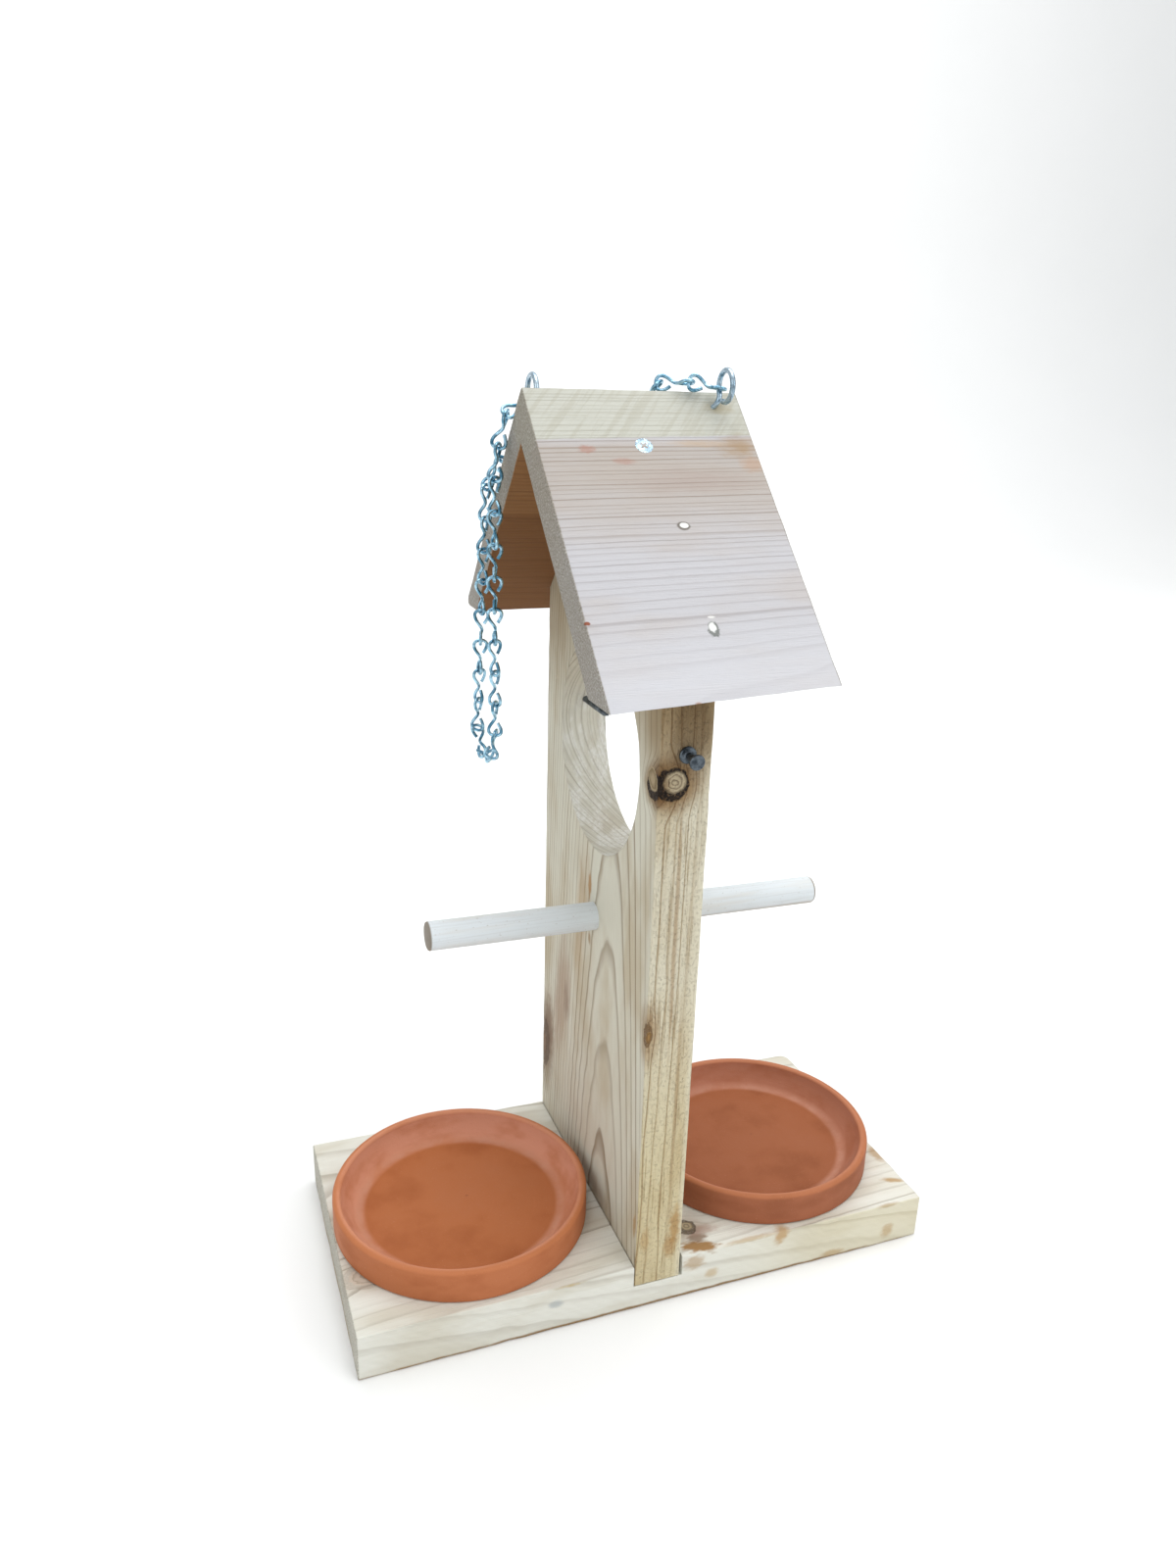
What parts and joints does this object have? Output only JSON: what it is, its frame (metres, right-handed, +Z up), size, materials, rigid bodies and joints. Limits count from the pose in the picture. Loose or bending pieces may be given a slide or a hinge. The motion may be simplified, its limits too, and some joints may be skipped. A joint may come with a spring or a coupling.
{
  "type": "bird feeder",
  "caption": "Free-standing wooden bird feeder with a round food hole and removable nails, a pitched roof, a perch, clay saucers on its base and a hanging chain.",
  "frame": {"origin": "middle of the underside of the base board, on the ground", "axes": "+X to the right along the base board, +Y away from the front edge, +Z up along the upright"},
  "size_m": [0.298, 0.2152, 0.4357],
  "materials": {
    "base_wood": "weathered, sawn",
    "upright_wood": "weathered, planed",
    "roof_wood_grey": "weathered grey",
    "roof_wood_brown": "weathered, brown beneath",
    "perch_wood": "smooth, bleached",
    "terracotta": "matte fired clay",
    "nail_steel": "dull dark steel",
    "zinc": "bright zinc plate",
    "chain_zinc": "blue zinc plate"
  },
  "bodies": {
    "house": {"base_board": "base_wood", "upright_board": "upright_wood", "roof_board_front": "roof_wood_grey", "roof_board_back": "roof_wood_brown", "perch_dowel": "perch_wood", "roof_screws": "zinc", "base_screws": "zinc", "screw_eye_left": "zinc", "screw_eye_right": "zinc", "chain_tail_link": "chain_zinc", "chain_edge_link": "chain_zinc", "chain_roof_run": "chain_zinc", "chain_ridge_links": "chain_zinc"},
    "front_nail": {"nail_front": "nail_steel"},
    "back_nail": {"nail_back": "nail_steel"},
    "left_saucer": {"saucer_left": "terracotta"},
    "right_saucer": {"saucer_right": "terracotta"},
    "chain_loop": {"chain_front_strand": "chain_zinc", "chain_bend_links": "chain_zinc", "chain_back_strand": "chain_zinc"}
  },
  "joints": [
    {"name": "front_nail_pull", "type": "slide", "parent": "house", "child": "front_nail", "axis": [0, -0.9986, -0.0523], "range_m": [0, 0.07]},
    {"name": "back_nail_pull", "type": "slide", "parent": "house", "child": "back_nail", "axis": [0, 1, 0], "range_m": [0, 0.07]},
    {"name": "left_saucer_lift", "type": "slide", "parent": "house", "child": "left_saucer", "axis": [0, 0, 1], "range_m": [0, 0.1]},
    {"name": "right_saucer_lift", "type": "slide", "parent": "house", "child": "right_saucer", "axis": [0, 0, 1], "range_m": [0, 0.1]},
    {"name": "chain_loop_swing", "type": "hinge", "parent": "house", "child": "chain_loop", "pos_m": [-0.0544, 0.0161, 0.4147], "axis": [-0.0668, 0.5867, -0.807], "range_deg": [0, 65]}
  ]
}
